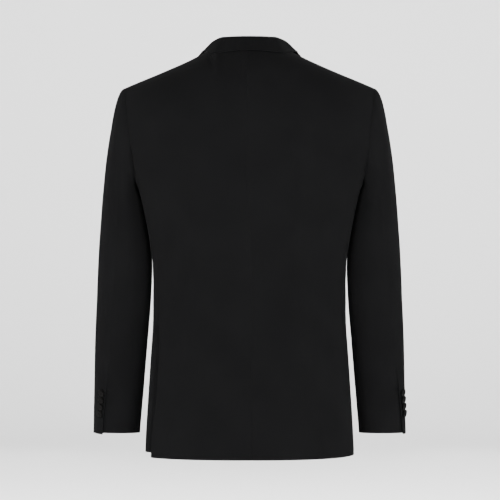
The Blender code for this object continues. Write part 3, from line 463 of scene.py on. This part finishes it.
# ridges stand where the back catches light in long soft bands, with troughs beside them
BACK_FOLDS = [
    (0.096, 0.115, -0.250, 0.108, 0.116, -0.440, 0.018, -0.0044),
    (0.108, 0.116, -0.440, 0.126, 0.112, -0.600, 0.019, -0.0046),
    (0.126, 0.112, -0.600, 0.146, 0.100, -0.720, 0.020, -0.0036),
    (0.130, 0.105, -0.240, 0.143, 0.100, -0.420, 0.018, 0.0038),
    (0.143, 0.100, -0.420, 0.152, 0.092, -0.540, 0.014, 0.0026),
    (0.040, 0.120, -0.330, 0.048, 0.124, -0.690, 0.026, 0.0016),
    (-0.082, 0.120, -0.150, -0.087, 0.117, -0.380, 0.018, -0.0046),
    (-0.087, 0.117, -0.380, -0.103, 0.117, -0.560, 0.019, -0.0054),
    (-0.103, 0.117, -0.560, -0.128, 0.108, -0.715, 0.021, -0.0040),
    (-0.118, 0.110, -0.150, -0.126, 0.107, -0.390, 0.020, 0.0050),
    (-0.126, 0.107, -0.390, -0.138, 0.102, -0.560, 0.018, 0.0038),
    (-0.050, 0.121, -0.400, -0.056, 0.125, -0.700, 0.022, 0.0018),
    (-0.166, 0.100, -0.120, -0.176, 0.096, -0.215, 0.014, 0.0030),
    (0.172, 0.100, -0.130, 0.180, 0.096, -0.220, 0.013, 0.0018),
    (0.070, 0.109, -0.060, 0.120, 0.118, -0.110, 0.022, 0.0010),
    (-0.070, 0.109, -0.060, -0.120, 0.118, -0.110, 0.022, 0.0012),
    (0.020, 0.11, -0.372, 0.120, 0.10, -0.384, 0.012, 0.0008),
    (-0.020, 0.11, -0.366, -0.125, 0.10, -0.376, 0.013, 0.0009),
    (-0.1579, 0.085, -0.4586, -0.1670, 0.080, -0.4660, 0.0035, 0.0012),
]
CENTRE_SEAM = [
    # the seam's own groove, and the edge of its allowance that shows through beside it
    (0.0046, 0.08, 0.004, 0.0046, 0.11, -0.080, 0.0022, 0.0009),
    (0.0046, 0.11, -0.060, 0.0058, 0.12, -0.230, 0.0020, 0.0004),
    (0.0058, 0.12, -0.200, -0.0030, 0.11, -0.400, 0.0020, 0.0004),
    (-0.0046, 0.11, -0.360, -0.0046, 0.13, -0.740, 0.0020, 0.0004),
    (0.0130, 0.08, 0.004, 0.0130, 0.11, -0.070, 0.0020, 0.0004),
]
for hand in ("left", "right"):
    back, size, area = lay_out("back_" + hand, body_axis)
    let_out(back)
    crease(back, BACK_FOLDS + CENTRE_SEAM)
    if hand == "right":
        sew_to(back, ["back_left_cloth"])
    sew_in(back, "back_" + hand)

# Side bodies.
# A narrow panel of worsted under each arm, from the armhole to the hem.  Below the hip it runs on
# behind the back as the vent's underlap.

VENT_TOP = -0.453
SIDE_REACH = 0.0040
SIDE_FOLDS = both_sides((
    (0.185, -0.02, -0.250, 0.176, 0.01, -0.330, 0.012, 0.0012),
    (0.172, 0.03, -0.370, 0.176, -0.04, -0.390, 0.010, 0.0009),
    (0.174, 0.03, -0.415, 0.176, -0.04, -0.420, 0.010, 0.0007),
    # the underlap sinks beside the back's free edge
    (0.1640, 0.0590, -0.482, 0.1625, 0.0649, -0.5225, 0.011, 0.0060),
    (0.1625, 0.0649, -0.5225, 0.1670, 0.0746, -0.628, 0.011, 0.0066),
    (0.1670, 0.0746, -0.628, 0.1775, 0.0690, -0.735, 0.011, 0.0066),
))
for hand in ("left", "right"):
    side, size, area = lay_out("side_" + hand, body_axis)
    let_out(side)
    crease(side, SIDE_FOLDS)
    sew_to(side, ["back_" + hand + "_cloth"], SIDE_REACH, VENT_TOP)
    sew_in(side, "side_" + hand)

# Fronts.
# The left laps over the right at two buttons and both are rounded off at the hem.  Canvas inside keeps
# the chest smooth, and the closed top button draws a few soft lines out of the waist.

FRONT_FOLDS = both_sides((
    (0.020, -0.13, -0.408, 0.120, -0.12, -0.385, 0.011, 0.0014),
    (0.020, -0.13, -0.425, 0.125, -0.12, -0.440, 0.012, 0.0012),
    (0.020, -0.13, -0.395, 0.100, -0.12, -0.345, 0.012, 0.0010),
    (0.165, -0.08, -0.160, 0.150, -0.10, -0.260, 0.014, 0.0014),
    (0.130, -0.09, -0.540, 0.125, -0.10, -0.690, 0.022, -0.0014),
    (0.070, -0.12, -0.560, 0.075, -0.12, -0.690, 0.020, 0.0010),
))
for hand in ("left", "right"):
    front, size, area = lay_out("front_" + hand, body_axis)
    let_out(front)
    crease(front, FRONT_FOLDS)
    sew_to(front, ["side_" + hand + "_cloth"])
    sew_in(front, "front_" + hand)

# Sleeves.
# Each is a top sleeve and an under sleeve joined along the front and back of the arm, eased over the
# shoulder and bent a little forward.  The back seam opens as a vent at the cuff.

ARM_LINE = np.array((
    # height, outwards, backwards
    (-0.700, 0.2440, -0.064),
    (-0.520, 0.2350, -0.037),
    (-0.380, 0.2270, -0.021),
    (-0.270, 0.2300, -0.017),
    (-0.150, 0.2000, 0.000),
    (-0.050, 0.1700, 0.000),
))


def arm_axis(point):
    """The place inside the arm that a point of its sleeve faces away from."""
    across = np.interp(point.z, ARM_LINE[:, 0], ARM_LINE[:, 1])
    along = np.interp(point.z, ARM_LINE[:, 0], ARM_LINE[:, 2])
    return Vector((math.copysign(across, point.x), along, point.z))


SLEEVE_FOLDS = both_sides((
    (0.200, -0.085, -0.375, 0.272, -0.060, -0.350, 0.010, 0.0018),
    (0.196, -0.090, -0.400, 0.276, -0.070, -0.408, 0.011, 0.0022),
    (0.200, -0.090, -0.430, 0.272, -0.075, -0.455, 0.010, 0.0015),
    (0.250, 0.050, -0.120, 0.262, 0.045, -0.300, 0.013, -0.0014),
    (0.232, 0.055, -0.140, 0.236, 0.052, -0.330, 0.011, 0.0016),
    (0.215, 0.035, -0.440, 0.262, 0.020, -0.405, 0.014, 0.0012),
    (0.205, 0.030, -0.280, 0.245, 0.045, -0.250, 0.011, 0.0014),
    (0.250, -0.055, -0.110, 0.262, -0.060, -0.260, 0.013, 0.0012),
    (0.272, -0.020, -0.150, 0.284, -0.030, -0.420, 0.018, -0.0010),
    (0.240, -0.005, -0.560, 0.246, -0.020, -0.660, 0.014, 0.0008),
))
CUFF_FOLDS = {
    # the top sleeve's edge lies down below the vent's top, and the under sleeve comes up to the seam above it
    "top_sleeve_": both_sides(((0.2618, -0.0015, -0.600, 0.2634, -0.0050, -0.616, 0.004, 0.0014),)),
    "under_sleeve_": both_sides(((0.2575, 0.0015, -0.584, 0.2612, -0.0055, -0.604, 0.007, -0.0024),)),
}
CUFF_VENT_TOP = -0.600
ARMHOLE_REACH = 0.0045
SLEEVE_REACH = 0.0035
for hand in ("left", "right"):
    body = [f"{panel}_{hand}_cloth" for panel in ("back", "side", "front")]
    for node in ("top_sleeve_", "under_sleeve_"):
        sleeve, size, area = lay_out(node + hand, arm_axis)
        let_out(sleeve)
        crease(sleeve, SLEEVE_FOLDS + CUFF_FOLDS[node])
        sew_to(sleeve, body, ARMHOLE_REACH)
        if node == "under_sleeve_":
            sew_to(sleeve, ["top_sleeve_" + hand + "_cloth"], SLEEVE_REACH, CUFF_VENT_TOP)
        sew_in(sleeve, node + hand)

# Collar.
# One folded piece of worsted: a stand against the neck and a fall turned down over the back and fronts,
# with both ends meeting the lapels in a notch.

COLLAR_THICKNESS = 0.0016
UP = Vector((0, 0, 1))


def below(point):
    """The place straight below a point, which a fold that is open below faces away from."""
    return point - UP


collar, size, area = lay_out("collar", below)
sew_in(collar, "collar", WORSTED, COLLAR_THICKNESS)

# Lapels.
# The fronts' facings, worsted on both sides of a canvas, turned back along the roll line and pressed
# flat, the left over the right.

for hand in ("left", "right"):
    lapel, size, area = lay_out("lapel_" + hand, body_axis)
    sew_in(lapel, "lapel_" + hand, WORSTED)

# Hip pocket flaps and breast welt.
# Small double pieces of the same worsted, turned at their edges.  The flaps hang from their pockets'
# mouths, and the welt is sewn down over its own.

for node in ("flap_left", "flap_right", "breast_welt"):
    flap, size, area = lay_out(node, body_axis)
    front = "front_right_cloth" if node == "flap_right" else "front_left_cloth"
    sew_in(flap, node, WORSTED)

# Buttons.
# Black horn discs turned with a rim round a dished face and sewn on through four holes with waxed
# thread.  Two close the front, and four kiss each other beside each cuff's vent.

BUTTON_SIDES = 48
ROUND_SIDES = 16  # of its holes and shank
POLISH_ANGLE = math.radians(20)  # edges turned by more than this are polished round
SHINE_ANGLE = math.radians(15)  # and edges turned by more than this part the shine
BUTTON_STAND = 0.0006  # of its back over the cloth
# these are parts of a button's radius
BUTTON_DEPTH = 0.16  # height of its straight side
BUTTON_STEPS = ((0.11, 0.97), (0.03, 0.82), (-0.05, 0.66), (-0.035, 0.50), (-0.005, 0.30))  # rise and radius
BUTTON_EDGE = 0.03  # width of its polished edges
HOLE_REACH = 0.20  # of a hole from the button's middle, each way
HOLE_RADIUS = 0.085
STRANDS = (-0.055, -0.018, 0.018, 0.055)  # of thread, side by side over each pair of holes
STRAND_SIZE = (0.024, HOLE_REACH + 0.05, 0.055)
SHANK_RADIUS = 0.26
SHANK_ENDS = 0.05  # length of the shank's two ends inside the back and the cloth, together


def horn():
    """Polished black horn with faint brown streaks."""
    shell, nodes, join, shader = new_material("black_horn")
    shader.inputs["Roughness"].default_value = 0.42
    shader.inputs["Specular IOR Level"].default_value = 0.0015
    place = nodes.new("ShaderNodeTexCoord")
    stretch = nodes.new("ShaderNodeMapping")
    stretch.inputs["Scale"].default_value = (900.0, 900.0, 160.0)
    streak = nodes.new("ShaderNodeTexNoise")
    streak.inputs["Scale"].default_value = 1.0
    streak.inputs["Detail"].default_value = 3.0
    tone = nodes.new("ShaderNodeValToRGB")
    tone.color_ramp.elements[0].position = 0.35
    tone.color_ramp.elements[0].color = (0.0018, 0.0018, 0.0018, 1)
    tone.color_ramp.elements[1].position = 0.75
    tone.color_ramp.elements[1].color = (0.0036, 0.0033, 0.0031, 1)
    join(place.outputs["Object"], stretch.inputs["Vector"])
    join(stretch.outputs["Vector"], streak.inputs["Vector"])
    join(streak.outputs["Fac"], tone.inputs["Fac"])
    join(tone.outputs["Color"], shader.inputs["Base Color"])
    return shell


def silk():
    """Waxed black thread with a twist that runs round it."""
    thread, nodes, join, shader = new_material("black_thread")
    shader.inputs["Roughness"].default_value = 0.5
    shader.inputs["Specular IOR Level"].default_value = 0.0015
    place = nodes.new("ShaderNodeTexCoord")
    twist = nodes.new("ShaderNodeTexNoise")
    twist.inputs["Scale"].default_value = 5000.0
    tone = nodes.new("ShaderNodeValToRGB")
    tone.color_ramp.elements[0].color = (0.0012, 0.0012, 0.0013, 1)
    tone.color_ramp.elements[1].color = (0.0028, 0.0028, 0.0029, 1)
    join(place.outputs["Object"], twist.inputs["Vector"])
    join(twist.outputs["Fac"], tone.inputs["Fac"])
    join(tone.outputs["Color"], shader.inputs["Base Color"])
    return thread


HORN = horn()
THREAD = silk()


def turn_button(radius):
    """One sewn button, its back on the level of the origin and its face upwards."""
    bpy.ops.object.select_all(action="DESELECT")
    depth = BUTTON_DEPTH * radius
    bpy.ops.mesh.primitive_cylinder_add(
        vertices=BUTTON_SIDES, radius=radius, depth=depth, location=(0, 0, depth / 2)
    )
    button = bpy.context.active_object
    bpy.ops.object.transform_apply(location=True)
    bpy.context.tool_settings.mesh_select_mode = (False, False, True)
    # the blank's points stay selected beside its top face, so each step leaves rings inside the button
    for face in button.data.polygons:
        face.select = face.normal.z > 0.9
    bpy.ops.object.mode_set(mode="EDIT")
    reach = 1.0
    top = BUTTON_DEPTH
    for rise, wide in BUTTON_STEPS:
        bpy.ops.mesh.extrude_region_move(TRANSFORM_OT_translate={"value": (0, 0, rise * radius)})
        bpy.ops.transform.resize(value=(wide / reach, wide / reach, 1))
        reach = wide
        top += rise
    bpy.ops.object.mode_set(mode="OBJECT")
    soft = button.modifiers.new("polished", "BEVEL")
    soft.width = BUTTON_EDGE * radius
    soft.segments = 2
    soft.limit_method = "ANGLE"
    soft.angle_limit = POLISH_ANGLE
    apply_all(button)
    drills = []
    for side in (-1, 1):
        for end in (-1, 1):
            spot = (side * HOLE_REACH * radius, end * HOLE_REACH * radius, 0)
            bpy.ops.mesh.primitive_cylinder_add(
                vertices=ROUND_SIDES, radius=HOLE_RADIUS * radius, depth=radius, location=spot
            )
            drills.append(bpy.context.active_object)
    bpy.ops.object.select_all(action="DESELECT")
    for drill in drills:
        drill.select_set(True)
    bpy.context.view_layer.objects.active = drills[0]
    bpy.ops.object.join()
    drilled = button.modifiers.new("holes", "BOOLEAN")
    drilled.object = drills[0]
    drilled.solver = "EXACT"
    apply_all(button)
    bpy.data.objects.remove(drills[0], do_unlink=True)
    button.data.materials.clear()
    button.data.materials.append(HORN)
    sewing = [button]
    for side in (-1, 1):
        for strand in STRANDS:
            spot = (side * HOLE_REACH * radius + strand * radius, 0, top * radius)
            bpy.ops.mesh.primitive_uv_sphere_add(segments=10, ring_count=6, radius=1, location=spot)
            bpy.ops.transform.resize(value=[part * radius for part in STRAND_SIZE])
            sewing.append(bpy.context.active_object)
    shank = BUTTON_STAND + SHANK_ENDS * radius
    bpy.ops.mesh.primitive_cylinder_add(
        vertices=ROUND_SIDES, radius=SHANK_RADIUS * radius, depth=shank, location=(0, 0, -BUTTON_STAND / 2)
    )
    sewing.append(bpy.context.active_object)
    for stitch in sewing[1:]:
        stitch.data.materials.append(THREAD)
    bpy.ops.object.select_all(action="DESELECT")
    for part in sewing:
        part.select_set(True)
    bpy.context.view_layer.objects.active = button
    bpy.ops.object.join()
    bpy.ops.object.transform_apply(location=True, rotation=True, scale=True)
    bpy.ops.object.shade_smooth_by_angle(angle=SHINE_ANGLE)
    return button


def seat(node, axis):
    """The place and turn that set a button made at the origin on its node, and the node's radius."""
    points = np.array([tuple(vertex.co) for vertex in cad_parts[node].data.vertices])
    middle = points.mean(axis=0)
    outward = np.linalg.svd(points - middle, full_matrices=False)[2][2]
    if outward @ (middle - np.array(axis(Vector(middle)))) < 0:
        outward = -outward
    height = (points - middle) @ outward
    radius = np.linalg.norm(points - middle - height[:, None] * outward, axis=1).max()
    facing = Vector(outward)
    across = UP.cross(facing).normalized()
    turn = Matrix((across, facing.cross(across), facing)).transposed()
    return Matrix.Translation(Vector(middle + outward * height.min())) @ turn.to_4x4(), radius


for names, axis in (
    (["front_button_1", "front_button_2"], body_axis),
    ([f"cuff_button_{hand}_{place}" for hand in ("left", "right") for place in (1, 2, 3, 4)], arm_axis),
):
    pattern = turn_button(seat(names[0], axis)[1])
    for node in names:
        mesh = pattern.data.copy()
        mesh.transform(seat(node, axis)[0])
        button = bpy.data.objects.new(node + "_sewn", mesh)
        bpy.context.scene.collection.objects.link(button)
        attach(button, "root")
        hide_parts(node)
    bpy.data.objects.remove(pattern, do_unlink=True)

# Buttonholes.
# Each is a slit bound all round with close stitches of silk twist: two on the left front, one in the
# left lapel, and four mock ones on each cuff that the buttons are sewn over.

STITCH_PITCH = 0.0006
STITCH_RADIUS = 0.00024
STITCH_LIFT = 0.7  # of its middle over the cloth, as a part of its radius
SLIT_HALF_WIDTH = 0.00035
BINDING_WIDTH = 0.0011  # from the slit's middle line to the stitches' outer ends
ROUND_END_STEPS = 8
BAR_STEP = 0.0002
TO_THE_LEFT = Vector((1, 0, 0))  # the wearer's left
FRONT_HOLE_START = -0.002  # from the button's middle, along the hole
FRONT_HOLE_LENGTH = 0.023
CUFF_HOLE_START = -0.0030
CUFF_HOLE_LENGTH = 0.0150
LAPEL_HOLE_START = Vector((0.094, -0.150, -0.100))
LAPEL_HOLE_END = Vector((0.114, -0.145, -0.107))


def work_buttonhole(name, piece, start, end):
    """Binds a slit from start to end, both near the piece, with stitches that lie on its surface."""
    run = end - start
    length = run.length
    along = run.normalized()
    _, _, facing, _ = piece.closest_point_on_mesh((start + end) / 2)
    aside = facing.cross(along).normalized()
    steps = int(length / STITCH_PITCH)
    route = []
    for step in range(steps):
        route.append((step * STITCH_PITCH, SLIT_HALF_WIDTH))
        route.append(((step + 0.5) * STITCH_PITCH, BINDING_WIDTH))
    for turn in range(1, ROUND_END_STEPS):
        angle = math.pi * turn / ROUND_END_STEPS
        wide = BINDING_WIDTH if turn % 2 else SLIT_HALF_WIDTH
        route.append((length + wide * math.sin(angle), wide * math.cos(angle)))
    for step in range(steps, 0, -1):
        route.append((step * STITCH_PITCH, -SLIT_HALF_WIDTH))
        route.append(((step - 0.5) * STITCH_PITCH, -BINDING_WIDTH))
    for bar in (-1, 1, -1, 1, -1):
        route.append((BAR_STEP * bar - STITCH_PITCH, bar * BINDING_WIDTH))
    twist = bpy.data.curves.new(name, "CURVE")
    twist.dimensions = "3D"
    twist.bevel_depth = STITCH_RADIUS
    twist.bevel_resolution = 1
    twist.use_fill_caps = True
    line = twist.splines.new("POLY")
    line.points.add(len(route) - 1)
    for point, (forward, across) in zip(line.points, route):
        _, spot, facing, _ = piece.closest_point_on_mesh(start + along * forward + aside * across)
        point.co = (*(spot + facing * STITCH_RADIUS * STITCH_LIFT), 1.0)
    twist.materials.append(THREAD)
    worked = bpy.data.objects.new(name, twist)
    bpy.context.scene.collection.objects.link(worked)
    bpy.ops.object.select_all(action="DESELECT")
    worked.select_set(True)
    bpy.context.view_layer.objects.active = worked
    bpy.ops.object.convert(target="MESH")
    worked.data.shade_smooth()
    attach(worked, "root")


bpy.context.view_layer.update()
left_front = bpy.data.objects["front_left_cloth"]
for number in (1, 2):
    place = seat(f"front_button_{number}", body_axis)[0].translation
    start = place + TO_THE_LEFT * FRONT_HOLE_START
    end = start + TO_THE_LEFT * FRONT_HOLE_LENGTH
    work_buttonhole(f"front_buttonhole_{number}", left_front, start, end)
for hand in ("left", "right"):
    top_sleeve = bpy.data.objects[f"top_sleeve_{hand}_cloth"]
    for number in (1, 2, 3, 4):
        place = seat(f"cuff_button_{hand}_{number}", arm_axis)[0]
        forward = place.col[0].xyz
        if forward.y > 0:
            forward = -forward
        start = place.translation + forward * CUFF_HOLE_START
        end = start + forward * CUFF_HOLE_LENGTH
        work_buttonhole(f"cuff_buttonhole_{hand}_{number}", top_sleeve, start, end)
work_buttonhole("lapel_buttonhole", bpy.data.objects["lapel_left_cloth"], LAPEL_HOLE_START, LAPEL_HOLE_END)
